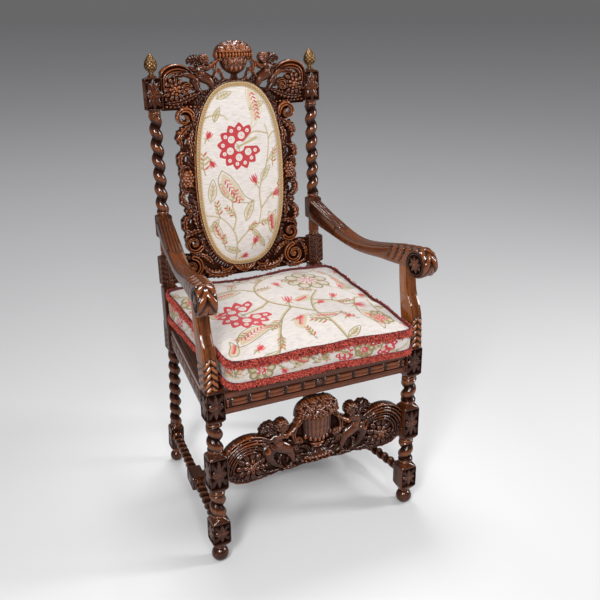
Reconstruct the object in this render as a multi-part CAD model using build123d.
from build123d import *
import os
from math import atan2, copysign, cos, degrees, hypot, pi, radians, sin

# A carved open armchair: barley-twist legs and back posts, a pierced carved back
# round an oval upholstered panel, scrolled arms, and a loose boxed cushion.
# Millimetres, +Z up, the sitter faces -Y. It is built with y = 0 on the front leg
# axes and z = 0 on the floor, and moved to its own origin when it is written.

# ---------------------------------------------------------------- driving sizes
# Plan of the frame
front_leg_spread = 550.0  # between the front leg axes
rear_post_spread = 456.0  # between the rear post axes
seat_depth = 450.0  # front leg axes to rear post axes, at the seat
rear_splay = 50.0  # how far the rear feet stand behind the seat-level axes
back_rake = 3.05  # degrees that the back leans from upright

# Heights of the legs, from the floor up
foot_height = 46.0
lower_block_height = 84.0
lower_twist_height = 74.0
middle_block_height = 108.0
upper_twist_height = 81.0
seat_block_height = 89.0

# Heights of the back, from the top of the seat block up, along the post
plain_length = 104.0  # squared post behind the cushion
carved_block_length = 86.0
column_length = 48.0  # round column under the arm
arm_block_length = 66.0
back_twist_length = 270.0
crest_block_length = 88.0

# Squares and turnings
front_block_side = 47.0
front_twist_diameter = 41.0
front_foot_diameter = 43.0
front_twist_pitch = 44.0
post_block_width = 40.0
post_block_depth = 32.0
post_seat_block_depth = 42.0
post_carved_block_width = 46.0
post_crest_block_width = 45.0
post_upper_depth = 28.0  # depth of the carved blocks of the back
post_twist_diameter = 35.0
post_foot_diameter = 37.0
column_diameter = 30.5  # round column of the post, under the arm
post_twist_pitch = 36.0
block_chamfer = 6.0
collar_height = 9.0
foot_flat = 1.5  # depth of the worn flat under each ball foot

# Seat frame
rail_height = 54.0
rail_thickness = 22.0
rail_inset = 6.5  # outer faces of the rails inside the faces of the blocks
seat_board_thickness = 12.0
seat_board_setback = 9.0
block_rise = 2.0  # seat blocks stand this much above the seat board
corner_block_reach = 60.0
corner_block_height = 36.0

# Joints
tenon_thickness = 10.0
tenon_shoulder = 6.0
rail_tenon_length = 15.0
side_tenon_length = 21.0
board_tenon_thickness = 9.0
board_tenon_length = 16.0
peg_tenon_diameter = 14.0
peg_tenon_length = 15.0
joint_clearance = 0.2

# Stretchers
stretcher_height = 95.0
stretcher_twist_diameter = 27.0
stretcher_pitch = 27.0
stretcher_block_side = 38.0
stretcher_block_length = 74.0
stretcher_collar_diameter = 30.0
panel_thickness = 24.0
panel_front = 8.0  # front of the panel ahead of the leg axes

# Carved back
board_thickness = 22.0
oval_half_width = 126.0
oval_half_height = 251.0
oval_centre = 387.0  # above the top of the seat block, along the post
oval_power = 2.5
opening_margin = 8.0  # rebate round the opening
rebate_depth = 10.0
cover_rebate_depth = 3.0
cover_thickness = 2.0
webbing_width = 50.0
webbing_thickness = 1.2
pad_crown = 11.0
gimp_width = 11.0
gimp_thickness = 2.5
side_carving_half_width = 173.0
lower_rail_height = 80.0
crest_drop = 8.0  # lower edge of the crest below its block's lower end

# Arms
arm_width = 46.0
knuckle_radius = 38.0
knuckle_forward = 14.0  # knuckle centre ahead of the front leg axes
knuckle_height = 706.0
knuckle_outset = 12.0  # knuckle middles outside the front leg axes
arm_dip_top = 711.0
arm_dip_bottom = 679.0
arm_edge_radius = 7.0
support_width = 36.0
support_outset = 6.0  # support middles outside the front leg axes

# Finials
finial_diameter = 35.0
finial_height = 56.0
finial_stud_diameter = 6.0
finial_stud_length = 18.0

# Cushion
cushion_side_gap = 15.0  # from the cushion to each arm support
cushion_rear_outset = 28.0  # rear corners outside the rear post axes
cushion_overhang = 52.0  # front of the cushion ahead of the front leg axes
cushion_rear_gap = 13.0  # behind the cushion, to the posts
cushion_box_height = 84.0
cushion_crown = 24.0
cushion_corner_radius = 22.0
fringe_thickness = 8.0
fringe_top_height = 28.0
fringe_bottom_height = 20.0
rest_clearance = 0.3

# ------------------------------------------------------------- worked-out places
foot_top = foot_height
lower_block_top = foot_top + lower_block_height
lower_twist_top = lower_block_top + lower_twist_height
middle_block_top = lower_twist_top + middle_block_height
upper_twist_top = middle_block_top + upper_twist_height
seat_block_top = upper_twist_top + seat_block_height
seat_board_top = seat_block_top - block_rise
rail_top = seat_board_top - seat_board_thickness
rail_bottom = rail_top - rail_height
front_x = front_leg_spread / 2
post_x = rear_post_spread / 2
support_x = front_x + support_outset
knuckle_x = front_x + knuckle_outset
cushion_front_half_width = support_x - support_width / 2 - cushion_side_gap
cushion_rear_half_width = post_x + cushion_rear_outset
front_half_block = front_block_side / 2
splay_angle = degrees(atan2(rear_splay, upper_twist_top))
column_bottom = plain_length + carved_block_length
arm_block_bottom = column_bottom + column_length
back_twist_bottom = arm_block_bottom + arm_block_length
crest_block_bottom = back_twist_bottom + back_twist_length
post_top = crest_block_bottom + crest_block_length
crest_bottom = crest_block_bottom - crest_drop + block_chamfer

# The back's own plane: x across, y up the rake, z towards the sitter.
rake = radians(back_rake)
back_plane = Plane(
    origin=(0, seat_depth, seat_block_top),
    x_dir=(1, 0, 0),
    z_dir=(0, -cos(rake), sin(rake)),
)
back = back_plane.location
side_names = {"left": -1, "right": 1}


# ------------------------------------------------------------------ turned forms
def round_bar(diameter, length, base=0.0):
    """A plain cylinder that stands on base."""
    return Pos(0, 0, base) * extrude(Circle(diameter / 2), length)


def collar(diameter, height, base=0.0):
    """A turned ring with a rounded rim."""
    ring = round_bar(diameter, height, base)
    return fillet(ring.edges().filter_by(GeomType.CIRCLE), height * 0.35)


def twist(diameter, length, pitch, hand, base=0.0):
    """One start of barley twist: a circle off the axis, turned as it rises."""
    throw = diameter * 0.16
    section = Pos(throw, 0, 0) * Circle(diameter / 2 - throw)
    turn = hand * 360 * length / pitch
    shaft = Solid.extrude_linear_with_rotation(
        section.faces()[0], center=(0, 0, 0), normal=(0, 0, length), angle=turn
    )
    return Pos(0, 0, base) * shaft


def twist_between(diameter, pitch, hand, low, high, overlap=1.0):
    """A twist with a collar at each end, let into what lies above and below."""
    span = high - low - 2 * collar_height
    bar = twist(diameter, span, pitch, hand, low + collar_height)
    bar += collar(diameter * 0.92, collar_height + overlap, low - overlap)
    bar += collar(diameter * 0.92, collar_height + overlap, high - collar_height)
    return bar


def block(width, depth, low, high):
    """A squared block with chamfered ends."""
    solid = Pos(0, 0, (low + high) / 2) * Box(width, depth, high - low)
    ends = solid.edges().group_by(Axis.Z)
    return chamfer(ends[0] + ends[-1], block_chamfer)


def ball_foot(diameter, neck_top):
    """A ball foot with a worn flat, and its neck."""
    ball = Pos(0, 0, diameter / 2 - foot_flat) * Sphere(diameter / 2)
    ball -= Pos(0, 0, -diameter / 2) * Box(diameter, diameter, diameter)
    return ball + round_bar(diameter * 0.62, neck_top - diameter / 2, diameter / 2)


# --------------------------------------------------------------------- mortising
def slot_and_tenon(length, thickness, height):
    """A tenon block along +X from the shoulder, and the mortise that it fits."""
    tenon = Pos(length / 2, 0, 0) * Box(length, thickness, height)
    room = 2 * joint_clearance
    mortise = Pos((length + joint_clearance) / 2, 0, 0) * Box(
        length + joint_clearance, thickness + room, height + room
    )
    return tenon, mortise


def peg_and_hole(diameter, length):
    """A round tenon along +Z from the shoulder, and its hole."""
    hole = round_bar(diameter + 2 * joint_clearance, length + 1.0)
    return round_bar(diameter, length), hole


# --------------------------------------------------------------------- seat frame
front_rail_face = -front_half_block + rail_inset
front_rail_middle = front_rail_face + rail_thickness / 2
post_front = seat_depth - post_seat_block_depth / 2
post_rear = seat_depth + post_seat_block_depth / 2
rear_rail_rear = post_rear - rail_inset
rear_rail_middle = rear_rail_rear - rail_thickness / 2
rail_middle_z = (rail_top + rail_bottom) / 2
front_inner_x = front_x - front_half_block
post_inner_x = post_x - post_block_width / 2
side_front_x = front_x + front_half_block - rail_inset - rail_thickness / 2
side_rear_x = post_x + post_block_width / 2 - rail_inset - rail_thickness / 2
side_run = post_front - front_half_block
side_angle = degrees(atan2(side_run, side_rear_x - side_front_x))


def side_rail_x(y):
    """Middle of the right side rail at a depth y."""
    share = (y - front_half_block) / side_run
    return side_front_x + share * (side_rear_x - side_front_x)


side_half = rail_thickness / 2 / sin(radians(side_angle))
rail_tenon, rail_mortise = slot_and_tenon(
    rail_tenon_length, tenon_thickness, rail_height - 2 * tenon_shoulder
)
side_tenon, side_mortise = slot_and_tenon(
    side_tenon_length, tenon_thickness, rail_height - 2 * tenon_shoulder
)


def cross_rail(half_length, middle_y):
    """A rail across the chair with a tenon at each end."""
    rail = Pos(0, middle_y, rail_middle_z) * Box(2 * half_length, rail_thickness, rail_height)
    rail += Pos(half_length, middle_y, rail_middle_z) * rail_tenon
    rail += Pos(-half_length, middle_y, rail_middle_z) * Rot(0, 0, 180) * rail_tenon
    return rail


def cross_rail_mortise(half_length, middle_y, side):
    """The mortise of a cross rail in the leg or post on one side."""
    turn = 0 if side > 0 else 180
    return Pos(side * half_length, middle_y, rail_middle_z) * Rot(0, 0, turn) * rail_mortise


# Tenons of the right side rail run on along its own line into both posts.
side_front_seat = Pos(side_front_x, front_half_block, rail_middle_z) * Rot(0, 0, side_angle + 180)
side_rear_seat = Pos(side_rear_x, post_front, rail_middle_z) * Rot(0, 0, side_angle)


def side_rail_right():
    """The right side rail: square shoulders on both blocks, and two tenons."""
    plan = Polygon(
        (side_front_x - side_half, front_half_block),
        (side_front_x + side_half, front_half_block),
        (side_rear_x + side_half, post_front),
        (side_rear_x - side_half, post_front),
        align=None,
    )
    rail = Pos(0, 0, rail_bottom) * extrude(plan, rail_height)
    rail += side_front_seat * Pos(-1.5, 0, 0) * side_tenon
    rail += side_rear_seat * Pos(-1.5, 0, 0) * side_tenon
    return rail


def seat_board_right_edge(y):
    """Right edge of the seat board, set in from the side rail's outer face."""
    return side_rail_x(y) + side_half - seat_board_setback


def seat_board():
    """The board under the cushion, notched round the four blocks."""
    gap = 0.5
    front = front_rail_face + seat_board_setback
    behind_leg = front_half_block + gap
    before_post = post_front - gap
    half = [
        (front_inner_x - gap, front),
        (front_inner_x - gap, behind_leg),
        (seat_board_right_edge(behind_leg), behind_leg),
        (seat_board_right_edge(before_post), before_post),
        (post_inner_x - gap, before_post),
        (post_inner_x - gap, rear_rail_rear - seat_board_setback),
    ]
    plan = Polygon(*half, *[(-x, y) for x, y in reversed(half)], align=None)
    return Pos(0, 0, rail_top) * extrude(plan, seat_board_thickness)


def corner_blocks():
    """Four glue blocks, notched round the legs, inside the seat frame."""
    front_inside = front_rail_face + rail_thickness
    rear_inside = rear_rail_rear - rail_thickness
    reach = corner_block_reach
    glue_line = joint_clearance
    leg_face = front_half_block + glue_line
    post_face = post_front - glue_line

    def inside_x(y):
        return side_rail_x(y) - side_half

    front_plan = Polygon(
        (front_inner_x - reach, front_inside),
        (front_inner_x - glue_line, front_inside),
        (front_inner_x - glue_line, leg_face),
        (inside_x(leg_face), leg_face),
        (inside_x(leg_face + reach), leg_face + reach),
        align=None,
    )
    rear_plan = Polygon(
        (post_inner_x - reach, rear_inside),
        (post_inner_x - glue_line, rear_inside),
        (post_inner_x - glue_line, post_face),
        (inside_x(post_face), post_face),
        (inside_x(post_face - reach), post_face - reach),
        align=None,
    )
    base = rail_top - corner_block_height
    right = [Pos(0, 0, base) * extrude(plan, corner_block_height) for plan in (front_plan, rear_plan)]
    return right + [mirror(piece, about=Plane.YZ) for piece in right]


# --------------------------------------------------------------- stretchers below
def post_axis_y(z):
    """Depth of the splayed rear leg's axis at a height below the seat."""
    return seat_depth + rear_splay * (upper_twist_top - z) / upper_twist_top


stretcher_rear_y = post_axis_y(stretcher_height)
stretcher_run = hypot(stretcher_rear_y, front_x - post_x)
stretcher_turn = degrees(atan2(front_x - post_x, stretcher_rear_y))
peg, peg_hole = peg_and_hole(peg_tenon_diameter, peg_tenon_length)

# The right side stretcher's own line: z runs from the front leg to the rear leg.
stretcher_line = Pos(front_x, 0, stretcher_height) * Rot(0, 0, stretcher_turn) * Rot(-90, 0, 0)
stretcher_start = front_half_block / cos(radians(stretcher_turn))
stretcher_end = stretcher_run - post_block_depth / 2
stretcher_middle = stretcher_run * 0.48
cross_y = stretcher_middle * cos(radians(stretcher_turn))
cross_half = front_x - stretcher_middle * sin(radians(stretcher_turn))


def side_stretcher_right():
    """Peg, collar, twist, block, twist, collar, peg, from front to rear."""
    block_low = stretcher_middle - stretcher_block_length / 2
    block_high = stretcher_middle + stretcher_block_length / 2
    run_on = 6.0
    bar = round_bar(stretcher_collar_diameter, 12 + run_on, stretcher_start - run_on)
    bar += twist_between(
        stretcher_twist_diameter, stretcher_pitch, 1, stretcher_start + 10, block_low
    )
    bar += block(stretcher_block_side, stretcher_block_side, block_low, block_high)
    bar += twist_between(
        stretcher_twist_diameter, stretcher_pitch, 1, block_high, stretcher_end - 10
    )
    bar += round_bar(stretcher_collar_diameter, 12 + run_on, stretcher_end - 12)
    bar = stretcher_line * bar
    bar -= front_leg_blank(1)
    bar -= rear_leg_blank(1)
    bar += stretcher_line * Pos(0, 0, stretcher_start + 2) * Rot(180, 0, 0) * peg
    bar += stretcher_line * Pos(0, 0, stretcher_end - 4) * peg
    return bar - cross_stretcher_hole()


def stretcher_holes():
    """Holes for the right side stretcher's two pegs, in the front and rear legs."""
    front = stretcher_line * Pos(0, 0, stretcher_start + 2) * Rot(180, 0, 0) * peg_hole
    rear = stretcher_line * Pos(0, 0, stretcher_end - 4) * peg_hole
    return front, rear


cross_shoulder = cross_half - stretcher_block_side / 2 / cos(radians(stretcher_turn))


def cross_stretcher_hole():
    """Hole for the cross stretcher's peg in the right side stretcher's block."""
    return Pos(cross_shoulder - 3, cross_y, stretcher_height) * Rot(0, 90, 0) * peg_hole


def cross_stretcher():
    """Twist, block, twist, between the middles of the side stretchers."""
    half_block = stretcher_block_length / 2
    blank = block(stretcher_block_side, stretcher_block_side, -half_block, half_block)
    for side in (-1, 1):
        half = twist_between(
            stretcher_twist_diameter, stretcher_pitch, side, half_block, cross_shoulder - 10
        )
        half += round_bar(stretcher_collar_diameter, 16, cross_shoulder - 12)
        blank += half if side > 0 else mirror(half, about=Plane.XY)
    bar = Pos(0, cross_y, stretcher_height) * Rot(0, 90, 0) * blank
    middle = stretcher_middle
    solid_block = block(
        stretcher_block_side,
        stretcher_block_side,
        middle - stretcher_block_length / 2,
        middle + stretcher_block_length / 2,
    )
    right_block = stretcher_line * solid_block
    bar -= right_block
    bar -= mirror(right_block, about=Plane.YZ)
    for side in (-1, 1):
        bar += (
            Pos(side * (cross_shoulder - 3), cross_y, stretcher_height)
            * Rot(0, side * 90, 0)
            * peg
        )
    return bar


# ------------------------------------------------------------------ legs and posts
def front_leg_blank(side):
    """The leg with no mortises. Its twist is handed to suit its side."""
    leg = ball_foot(front_foot_diameter, foot_top + block_chamfer)
    leg += block(front_block_side, front_block_side, foot_top, lower_block_top)
    leg += twist_between(
        front_twist_diameter, front_twist_pitch, side, lower_block_top, lower_twist_top
    )
    leg += block(front_block_side, front_block_side, lower_twist_top, middle_block_top)
    leg += twist_between(
        front_twist_diameter, front_twist_pitch, side, middle_block_top, upper_twist_top
    )
    leg += block(front_block_side, front_block_side, upper_twist_top, seat_block_top)
    return Pos(side * front_x, 0, 0) * leg


def rear_leg_blank(side):
    """The splayed part of the post below the seat."""
    length = hypot(upper_twist_top, rear_splay)
    stretch = length / upper_twist_top
    leg = block(
        post_block_width, post_block_depth, foot_top * stretch - length, lower_block_top * stretch - length
    )
    leg += twist_between(
        post_twist_diameter, post_twist_pitch, side, lower_block_top * stretch - length, 0, 4.0
    )
    leg += round_bar(post_foot_diameter * 0.62, 20, foot_top * stretch - length - 14)
    leg = Pos(side * post_x, seat_depth, upper_twist_top) * Rot(splay_angle, 0, 0) * leg
    foot_y = post_axis_y(post_foot_diameter / 2)
    foot = ball_foot(post_foot_diameter, foot_top - block_chamfer)
    return leg + Pos(side * post_x, foot_y, 0) * foot


def back_post_blank(side):
    """The raked part of the post above the seat, in the back's own plane."""
    post = block(post_block_width, post_block_depth, -30.0, plain_length + 2)
    post += block(post_carved_block_width, post_upper_depth, plain_length, column_bottom)
    post += round_bar(column_diameter, column_length + 2, column_bottom - 1)
    post += collar(column_diameter + 1.0, collar_height, arm_block_bottom - collar_height)
    post += block(post_block_width, post_block_depth, arm_block_bottom, back_twist_bottom)
    post += twist_between(
        post_twist_diameter, post_twist_pitch * 1.08, side, back_twist_bottom, crest_block_bottom
    )
    post += block(post_crest_block_width, post_upper_depth, crest_block_bottom, post_top)
    return back * Pos(side * post_x, 0, 0) * Rot(-90, 0, 0) * Rot(0, 0, 180) * post


def front_leg(side):
    """A front leg with all its mortises."""
    leg = front_leg_blank(side)
    leg -= cross_rail_mortise(front_inner_x, front_rail_middle, side)
    leg -= handed(side_front_seat * Pos(-1.5, 0, 0) * side_mortise, side)
    leg -= handed(stretcher_holes()[0], side)
    leg -= handed(panel_mortise(), side)
    leg -= handed(support_foot_hole(), side)
    return leg


def rear_post(side):
    """A rear post with all its mortises."""
    post = rear_leg_blank(side) + back_post_blank(side)
    seat_block = block(post_block_width, post_seat_block_depth, upper_twist_top - 3, seat_block_top)
    post += Pos(side * post_x, seat_depth, 0) * seat_block
    post -= cross_rail_mortise(post_inner_x, rear_rail_middle, side)
    post -= handed(side_rear_seat * Pos(-1.5, 0, 0) * side_mortise, side)
    post -= handed(stretcher_holes()[1], side)
    post -= handed(lower_rail_mortise(), side)
    post -= handed(crest_mortise(), side)
    post -= handed(arm_mortise(), side)
    post -= handed(finial_hole(), side)
    return post


def handed(solid, side):
    """The solid as built for the right side, or its mirror for the left."""
    return solid if side > 0 else mirror(solid, about=Plane.YZ)


# -------------------------------------------------------------- front carved panel
panel_plane = Plane.XZ.location
panel_rise = lower_twist_top - 10.0  # lower edge of the panel
panel_tenon_height = middle_block_height - 28.0
panel_tenon_z = lower_twist_top + middle_block_height / 2
panel_tenon, panel_slot = slot_and_tenon(
    board_tenon_length, board_tenon_thickness, panel_tenon_height
)
panel_middle_y = -panel_front + panel_thickness / 2


def panel_mortise():
    """Mortise for the panel in the right front leg's middle block."""
    return Pos(front_inner_x, panel_middle_y, panel_tenon_z) * panel_slot


def urn(bowl_radius, foot_radius, bowl_height, foot_drop, dome_height):
    """A footed urn heaped with flowers, turned about its own upright axis."""
    lip = bowl_radius * 1.2
    heap = bowl_radius * 1.38
    rim = bowl_height + dome_height * 0.35
    neck = foot_radius * 0.45
    neck_z = -foot_drop * 0.25
    top = bowl_height + dome_height
    profile = make_face(
        [
            Line((0, -foot_drop), (foot_radius, -foot_drop)),
            Line((foot_radius, -foot_drop), (neck, neck_z)),
            Spline((neck, neck_z), (bowl_radius, bowl_height * 0.55), (lip, bowl_height)),
            Line((lip, bowl_height), (heap, bowl_height + 2)),
            Line((heap, bowl_height + 2), (heap, rim)),
            Spline((heap, rim), (0, top), tangents=[(0, 1), (-1, 0)]),
            Line((0, top), (0, -foot_drop)),
        ]
    )
    return revolve(Plane.XZ * profile, Axis.Z)


def front_stretcher_panel():
    """Pierced board: scrolls at the ends, winged figures, an urn in the middle."""
    end_x = front_inner_x
    low = panel_rise
    scroll_x = end_x - 62.0
    scroll_z = lower_twist_top + 92.0
    head_x = 97.0
    head_z = lower_twist_top + 130.0
    corner = 34.0
    base = make_face(
        [
            Line((0, low), (end_x - corner * 2, low + 10)),
            Spline((end_x - corner * 2, low + 10), (end_x - 8, low + 24), (end_x, low + corner * 1.4)),
            Line((end_x, low + corner * 1.4), (end_x, scroll_z)),
            Spline(
                (end_x, scroll_z),
                (end_x - 22, scroll_z + 24),
                (scroll_x, scroll_z + 34),
                (scroll_x - 38, scroll_z + 24),
            ),
            Spline(
                (scroll_x - 38, scroll_z + 24),
                (head_x + 34, head_z + 6),
                (head_x + 16, head_z),
            ),
            Line((head_x + 16, head_z), (head_x - 14, head_z)),
            Line((head_x - 14, head_z), (56, head_z - 16)),
            Line((56, head_z - 16), (0, head_z - 16)),
            Line((0, head_z - 16), (0, low)),
        ]
    )
    board = extrude(base, panel_thickness)
    board += Pos(head_x, head_z, 0) * extrude(Circle(19), panel_thickness)
    for x, z, radius in (
        (end_x - 110, lower_twist_top + 76, 9),
        (end_x - 152, lower_twist_top + 40, 7),
        (58, lower_twist_top + 92, 8),
    ):
        board -= Pos(x, z, 0) * extrude(Circle(radius), panel_thickness)
    for radius, thickness in ((33, 3.0), (16, 7.0)):
        board += Pos(end_x - 66, lower_twist_top + 42, panel_thickness - 1) * extrude(
            Circle(radius), thickness
        )
    board = Pos(0, 0, -panel_thickness + panel_front) * board
    right = panel_plane * board
    panel = right + mirror(right, about=Plane.YZ)
    bowl = urn(42, 36, 66, 44, 60)
    bowl = Pos(0, panel_middle_y, lower_twist_top + 68) * scale(bowl, by=(1, 0.6, 1))
    panel += bowl
    for side in (-1, 1):
        turn = 0 if side > 0 else 180
        seat = Pos(side * front_inner_x, panel_middle_y, panel_tenon_z) * Rot(0, 0, turn)
        panel += seat * panel_tenon
    return panel


# --------------------------------------------------------------------- carved back
def oval_ring(half_width, half_height, steps=32):
    """A closed superellipse about the middle of the back panel."""
    power = 2 / oval_power
    points = []
    for step in range(steps):
        angle = 2 * pi * (step + 0.5) / steps
        x = half_width * copysign(abs(cos(angle)) ** power, cos(angle))
        y = half_height * copysign(abs(sin(angle)) ** power, sin(angle))
        points.append((x, y + oval_centre))
    return make_face(Spline(*points, periodic=True))


def oval_slab(inset, low, high):
    """A flat oval, in from the rebate's edge, between two depths."""
    face = oval_ring(oval_half_width - inset, oval_half_height - inset)
    return Pos(0, 0, low) * extrude(face, high - low)


board_front = board_thickness / 2
rebate_floor = board_front - rebate_depth
cover_floor = -board_front + cover_rebate_depth


def oval_cutter():
    """What the carved boards are cut back by: the opening and its two rebates."""
    cutter = oval_slab(opening_margin, -board_thickness, board_thickness)
    cutter += oval_slab(0, rebate_floor, board_thickness)
    cutter += oval_slab(opening_margin / 2, -board_thickness, cover_floor)
    return cutter


crest_half = post_x - post_crest_block_width / 2
lower_half = post_x - post_carved_block_width / 2
crest_tenon_height = 50.0
crest_tenon_middle = crest_block_bottom + crest_block_length * 0.46
lower_rail_bottom = plain_length + 2.0
lower_rail_top = lower_rail_bottom + lower_rail_height
lower_tenon_height = 56.0
lower_tenon_middle = plain_length + carved_block_length * 0.48
crest_tenon, crest_slot = slot_and_tenon(
    board_tenon_length, board_tenon_thickness, crest_tenon_height
)
lower_tenon, lower_slot = slot_and_tenon(
    board_tenon_length, board_tenon_thickness, lower_tenon_height
)
# A tenon lies in the x-y plane of the back, so its height is turned up the rake.
lay_flat = Rot(-90, 0, 0)


def crest_mortise():
    """Mortise for the crest rail in the right post's top block."""
    return back * Pos(crest_half, crest_tenon_middle, 0) * lay_flat * crest_slot


def lower_rail_mortise():
    """Mortise for the lower back rail in the right post's carved block."""
    return back * Pos(lower_half, lower_tenon_middle, 0) * lay_flat * lower_slot


def add_end_tenons(board, half_width, middle, tenon):
    """Tenons at both ends of a board of the back."""
    board += Pos(half_width, middle, 0) * lay_flat * tenon
    board += Pos(-half_width, middle, 0) * Rot(0, 0, 180) * lay_flat * tenon
    return board


stile_tenon_width = 34.0
stile_tenon_length = 12.0
stile_x = side_carving_half_width - 32.0


def stile_tenon(up, room):
    """Tenon of the right side carving into the crest (up) or the lower rail."""
    edge = crest_bottom if up > 0 else lower_rail_top
    length = stile_tenon_length + room
    return Pos(stile_x, edge + up * length / 2, 0) * Box(
        stile_tenon_width + 2 * room, length, board_tenon_thickness + 2 * room
    )


def both_sides(solid):
    """The solid and its mirror across the middle of the chair."""
    return solid + mirror(solid, about=Plane.YZ)


def crest_rail():
    """Pierced crest: urn in the middle, winged figures, scrolls at the ends."""
    low = crest_bottom
    end_x = crest_half
    head_x = 84.0
    head_h = post_top + 34.0
    wing_h = post_top + 26.0
    scroll_x = end_x - 42.0
    base = make_face(
        [
            Line((0, low), (end_x, low)),
            Line((end_x, low), (end_x, post_top - 10)),
            Spline(
                (end_x, post_top - 10),
                (scroll_x + 14, post_top + 14),
                (scroll_x, post_top + 19),
                (scroll_x - 26, post_top + 8),
            ),
            Spline(
                (scroll_x - 26, post_top + 8),
                (head_x + 30, wing_h + 8),
                (head_x + 10, head_h),
            ),
            Line((head_x + 10, head_h), (head_x - 10, head_h)),
            Line((head_x - 10, head_h), (48, post_top + 22)),
            Line((48, post_top + 22), (0, post_top + 22)),
            Line((0, post_top + 22), (0, low)),
        ]
    )
    board = extrude(base, board_thickness)
    board += Pos(head_x, head_h, 0) * extrude(Circle(14.5), board_thickness)
    for x, h, radius in (
        (30, post_top - 4, 8),
        (66, post_top + 4, 8),
        (end_x - 66, post_top - 16, 11),
        (end_x - 22, post_top - 4, 7),
    ):
        board -= Pos(x, h, 0) * extrude(Circle(radius), board_thickness)
    for radius, thickness in ((27, 3.0), (12, 6.0)):
        board += Pos(end_x - 33, low + 40, board_thickness - 1) * extrude(Circle(radius), thickness)
    board = both_sides(Pos(0, 0, -board_front) * board)
    bowl = Rot(-90, 0, 0) * scale(urn(38, 22, 40, 21, 43), by=(1, 0.62, 1))
    board += Pos(0, post_top, 0) * bowl
    board -= oval_cutter()
    board = add_end_tenons(board, crest_half, crest_tenon_middle, crest_tenon)
    board -= both_sides(stile_tenon(1, joint_clearance))
    return back * board


def lower_back_rail():
    """Board under the oval, with its upper edge cut to the oval."""
    face = Pos(0, (lower_rail_bottom + lower_rail_top) / 2) * Rectangle(
        2 * lower_half, lower_rail_height
    )
    board = Pos(0, 0, -board_front) * extrude(face, board_thickness)
    board -= oval_cutter()
    for side in (-1, 1):
        for radius, thickness in ((30, 3.0), (14, 6.0)):
            disc = extrude(Circle(radius), thickness + 1)
            board += Pos(side * (lower_half - 44), lower_rail_bottom + 40, board_front - 1) * disc
    board = add_end_tenons(board, lower_half, lower_tenon_middle, lower_tenon)
    board -= both_sides(stile_tenon(-1, joint_clearance))
    return back * board


def back_side_carving(side):
    """Upright pierced carving beside the oval, with scrolls at both ends."""
    outer = side_carving_half_width
    low = lower_rail_top
    high = crest_bottom
    run = high - low
    outline = make_face(
        [
            Line((outer - 92, low), (outer - 8, low)),
            Spline(
                (outer - 8, low),
                (outer + 2, low + 30),
                (outer - 10, low + 62),
                (outer, low + run * 0.3),
                (outer - 8, low + run * 0.45),
                (outer, low + run * 0.6),
                (outer - 12, high - 72),
                (outer + 3, high - 34),
                (outer - 8, high),
            ),
            Line((outer - 8, high), (outer - 92, high)),
            Line((outer - 92, high), (outer - 92, low)),
        ]
    )
    board = Pos(0, 0, -board_front) * extrude(outline, board_thickness)
    for inset, rise, radius in (
        (26, 30, 9),
        (22, run * 0.38, 6),
        (22, run * 0.6, 6),
        (22, run * 0.71, 7),
        (26, run - 34, 11),
    ):
        board -= Pos(outer - inset, low + rise, -board_front) * extrude(Circle(radius), board_thickness)
    board -= oval_cutter()
    board += stile_tenon(1, 0.0)
    board += stile_tenon(-1, 0.0)
    return back * handed(board, side)


pad_back = rebate_floor + 2 * webbing_thickness
pad_gap = 0.3


def back_pad():
    """Stuffed front pad of the oval, in the rebate, with a low crown."""
    flange = oval_slab(pad_gap, pad_back, board_front)
    inner = oval_ring(oval_half_width - gimp_width - 1, oval_half_height - gimp_width - 1)
    middle = oval_ring(oval_half_width * 0.8, oval_half_height * 0.88)
    top = oval_ring(oval_half_width * 0.55, oval_half_height * 0.7)
    crown = loft(
        [
            Pos(0, 0, board_front) * inner,
            Pos(0, 0, board_front + pad_crown * 0.65) * middle,
            Pos(0, 0, board_front + pad_crown) * top,
        ]
    )
    return back * (flange + crown)


def back_gimp():
    """Woven braid round the pad, over the tacks."""
    ring = oval_slab(-1.0, board_front, board_front + gimp_thickness)
    ring -= oval_slab(gimp_width, board_front, board_front + gimp_thickness)
    return back * ring


def back_cover():
    """Cloth panel that closes the oval from behind."""
    return back * oval_slab(opening_margin / 2 + pad_gap, cover_floor - cover_thickness, cover_floor)


def back_webbing():
    """Upright and crosswise webbing strips on the rebate's floor, in two layers."""
    strips = []
    pitch = webbing_width * 1.45
    upright_count = int(oval_half_width // pitch)
    cross_count = int((oval_half_height - webbing_width / 2) // pitch)
    upright_layer = oval_slab(1.0, rebate_floor, rebate_floor + webbing_thickness)
    cross_layer = oval_slab(1.0, rebate_floor + webbing_thickness, pad_back)
    for step in range(-upright_count, upright_count + 1):
        strip = Pos(step * pitch, oval_centre, 0) * Box(
            webbing_width, 2 * oval_half_height, board_thickness
        )
        strips.append(back * (strip & upright_layer))
    for step in range(-cross_count, cross_count + 1):
        strip = Pos(0, oval_centre + step * pitch, 0) * Box(
            2 * oval_half_width, webbing_width, board_thickness
        )
        strips.append(back * (strip & cross_layer))
    return strips


# ------------------------------------------------------------------ arms, supports
arm_joint = arm_block_bottom + arm_block_length / 2
arm_joint_z = seat_block_top + arm_joint * cos(rake) + post_block_depth / 2 * sin(rake)
arm_joint_y = seat_depth + arm_joint * sin(rake) - post_block_depth / 2 * cos(rake)
arm_run = hypot(arm_joint_y + knuckle_forward, knuckle_x - post_x)
arm_direction = Vector(knuckle_x - post_x, -knuckle_forward - arm_joint_y, 0).normalized()
arm_plane = Plane(
    origin=(post_x, arm_joint_y, 0),
    x_dir=arm_direction,
    z_dir=arm_direction.cross(Vector(0, 0, 1)),
)
arm_end_height = 62.0
arm_tenon_height = 40.0
support_top_y = 38.0
arm_tenon, arm_slot = slot_and_tenon(board_tenon_length, tenon_thickness, arm_tenon_height)


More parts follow.
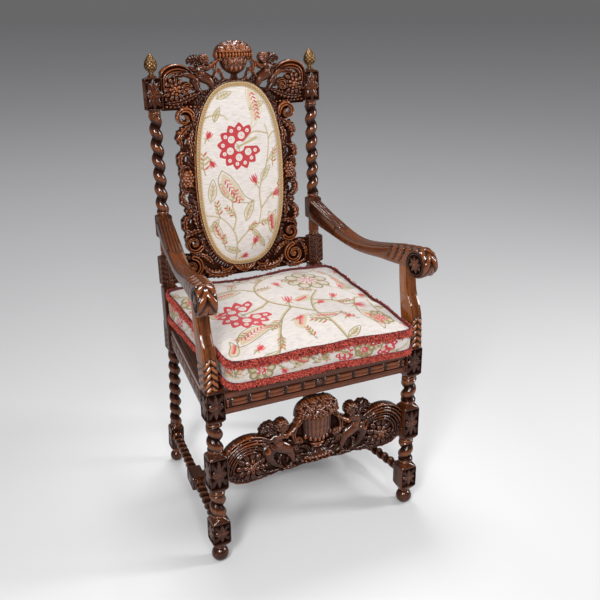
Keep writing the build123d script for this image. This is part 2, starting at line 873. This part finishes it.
def arm_seat():
    """The right arm's shoulder on its post: x points back into the post."""
    return Pos(post_x, arm_joint_y, arm_joint_z) * Rot(0, 0, 90) * Rot(0, back_rake, 0)


def arm_mortise():
    """Mortise for the right arm in the front of its post."""
    return arm_seat() * arm_slot


def arm_blank():
    """The right arm with no joints cut: swept down, up, and over its scroll."""
    top = arm_joint_z + arm_end_height / 2 - 8
    bottom = arm_joint_z - arm_end_height / 2 - 8
    radius = knuckle_radius
    dip = arm_run * 0.47
    lift_off = (arm_run - radius * 0.92, knuckle_height - radius * 0.39)
    into_post = -20.0
    profile = make_face(
        [
            Spline(
                (0, bottom),
                (arm_run * 0.22, (bottom + arm_dip_bottom) / 2 - 1),
                (dip, arm_dip_bottom),
                (arm_run * 0.72, arm_dip_bottom + 6),
                lift_off,
            ),
            ThreePointArc(
                lift_off,
                (arm_run + radius * 0.7071, knuckle_height - radius * 0.7071),
                (arm_run, knuckle_height + radius),
            ),
            Spline(
                (arm_run, knuckle_height + radius),
                (arm_run * 0.8, knuckle_height + radius - 11),
                (dip, arm_dip_top),
                (arm_run * 0.2, (top + arm_dip_top) / 2 - 3),
                (0, top),
            ),
            Line((0, top), (into_post, top)),
            Line((into_post, top), (into_post, bottom)),
            Line((into_post, bottom), (0, bottom)),
        ]
    )
    arm = arm_plane.location * extrude(profile, arm_width / 2, both=True)
    long_edges = [
        edge
        for edge in arm.edges().filter_by(GeomType.BSPLINE)
        + arm.edges().filter_by(GeomType.CIRCLE)
    ]
    return fillet(long_edges, arm_edge_radius)


def post_front_block():
    """Everything behind the right post's front face, at the arm."""
    side = 400.0
    return arm_seat() * Pos(side / 2, 0, 0) * Box(side, side, side)


def arm(side):
    """An arm with its tenon, and the hole for its support."""
    solid = arm_blank() - post_front_block()
    solid += arm_seat() * Pos(-1.0, 0, 0) * arm_tenon
    solid -= support_head_hole()
    return handed(solid, side)


support_peg_base = arm_dip_bottom + 6.0


def support_head_hole():
    """Hole in the right arm for the peg on top of its support."""
    return Pos(support_x, support_top_y, support_peg_base) * peg_hole


def support_foot_hole():
    """Hole in the right front leg for the peg under its support."""
    return Pos(support_x, 0, seat_block_top) * Rot(180, 0, 0) * peg_hole


def arm_support(side):
    """A serpentine support from the seat block up to the arm."""
    base = seat_block_top
    rise = arm_dip_top - base + 14
    profile = make_face(
        [
            Line((22, base), (-20, base)),
            Spline(
                (-20, base),
                (-18, base + rise * 0.26),
                (-9, base + rise * 0.42),
                (10, base + rise * 0.56),
                (20, base + rise * 0.72),
                (24, base + rise),
            ),
            Line((24, base + rise), (56, base + rise)),
            Spline(
                (56, base + rise),
                (51, base + rise * 0.66),
                (44, base + rise * 0.38),
                (32, base + rise * 0.16),
                (22, base),
            ),
        ]
    )
    side_view = Plane.YZ.location * extrude(profile, support_width / 2, both=True)
    solid = Pos(support_x, 0, 0) * side_view
    solid -= arm_blank()
    solid = solid.solids().sort_by(Axis.Z)[0]
    head = Pos(support_x, support_top_y, support_peg_base) * peg
    solid += head
    solid += Pos(support_x, 0, seat_block_top) * Rot(180, 0, 0) * peg
    return handed(solid, side)


# ---------------------------------------------------------------------- finials
def finial_hole():
    """Hole down the top of the right post for the finial's stud."""
    hole = round_bar(finial_stud_diameter + 2 * joint_clearance, finial_stud_length + 1)
    return back * Pos(post_x, post_top, 0) * Rot(90, 0, 0) * hole


def finial(side):
    """Cast bud on a waisted foot, with a stud below."""
    radius = finial_diameter / 2
    height = finial_height
    profile = make_face(
        [
            Line((0, 0), (radius * 0.55, 0)),
            Spline((radius * 0.55, 0), (radius * 0.3, height * 0.13), (radius * 0.5, height * 0.22)),
            Spline(
                (radius * 0.5, height * 0.22),
                (radius, height * 0.5),
                (radius * 0.55, height * 0.85),
                (0, height),
            ),
            Line((0, height), (0, 0)),
        ]
    )
    bud = revolve(Plane.XZ * profile, Axis.Z)
    bud += round_bar(finial_stud_diameter, finial_stud_length + 2, -finial_stud_length)
    bud = back * Pos(post_x, post_top, 0) * Rot(-90, 0, 0) * bud
    return handed(bud, side)


# ---------------------------------------------------------------------- cushion
cushion_front = -cushion_overhang
cushion_rear = post_front - cushion_rear_gap
cushion_base = seat_board_top + rest_clearance
cushion_edge = cushion_base + cushion_box_height


def cushion_plan(grow=0.0, shrink=1.0):
    """The cushion's rounded trapezoid, grown outwards or drawn in to its middle."""
    front = cushion_front - grow
    rear = cushion_rear + grow
    face = Polygon(
        (-cushion_front_half_width - grow, front),
        (cushion_front_half_width + grow, front),
        (cushion_rear_half_width + grow, rear),
        (-cushion_rear_half_width - grow, rear),
        align=None,
    )
    face = fillet(face.vertices(), cushion_corner_radius + grow)
    if shrink == 1.0:
        return face
    middle = (front + rear) / 2
    return Pos(0, middle) * scale(Pos(0, -middle) * face, by=(shrink, shrink, 1))


def seat_cushion():
    """Boxed cushion: upright border, and a crowned top."""
    box = Pos(0, 0, cushion_base) * extrude(cushion_plan(), cushion_box_height)
    crown = loft(
        [
            Pos(0, 0, cushion_edge) * cushion_plan(),
            Pos(0, 0, cushion_edge + cushion_crown * 0.7) * cushion_plan(shrink=0.8),
            Pos(0, 0, cushion_edge + cushion_crown) * cushion_plan(shrink=0.45),
        ]
    )
    return box + crown


def fringe(base, height):
    """A band of moss fringe round the cushion's border."""
    outer = Pos(0, 0, base) * extrude(cushion_plan(fringe_thickness), height)
    return outer - Pos(0, 0, base) * extrude(cushion_plan(), height)


# ------------------------------------------------------------------------ writing
def all_nodes():
    """Every sub-part by name, in the building position."""
    nodes = {
        "front_seat_rail": cross_rail(front_inner_x, front_rail_middle),
        "rear_seat_rail": cross_rail(post_inner_x, rear_rail_middle),
        "seat_board": seat_board(),
        "corner_blocks": corner_blocks(),
        "cross_stretcher": cross_stretcher(),
        "front_stretcher_panel": front_stretcher_panel(),
        "crest_rail": crest_rail(),
        "lower_back_rail": lower_back_rail(),
        "back_pad": back_pad(),
        "back_gimp": back_gimp(),
        "back_cover": back_cover(),
        "back_webbing": back_webbing(),
        "seat_cushion": seat_cushion(),
        "cushion_fringe_top": fringe(cushion_edge - fringe_top_height * 0.72, fringe_top_height),
        "cushion_fringe_bottom": fringe(seat_board_top + 4.0, fringe_bottom_height),
    }
    right_rail = side_rail_right()
    right_stretcher = side_stretcher_right()
    for name, side in side_names.items():
        nodes[f"front_leg_{name}"] = front_leg(side)
        nodes[f"rear_post_{name}"] = rear_post(side)
        nodes[f"side_seat_rail_{name}"] = handed(right_rail, side)
        nodes[f"side_stretcher_{name}"] = handed(right_stretcher, side)
        nodes[f"back_side_carving_{name}"] = back_side_carving(side)
        nodes[f"arm_{name}"] = arm(side)
        nodes[f"arm_support_{name}"] = arm_support(side)
        nodes[f"finial_{name}"] = finial(side)
    return nodes


# The origin is the middle of the chair's box, on the floor.
foremost = -max(knuckle_forward + knuckle_radius, cushion_overhang + fringe_thickness)
rearmost = max(
    post_axis_y(post_foot_diameter / 2) + post_foot_diameter / 2,
    seat_depth + post_top * sin(rake) + finial_diameter / 2,
)
to_origin = Pos(0, -(foremost + rearmost) / 2, 0)

os.makedirs("parts", exist_ok=True)
for node, solid in all_nodes().items():
    pieces = solid if isinstance(solid, list) else [solid]
    moved = [to_origin * piece for piece in pieces]
    shape = moved[0] if len(moved) == 1 else Compound(children=moved)
    shape.label = node
    export_step(shape, f"parts/{node}.step")
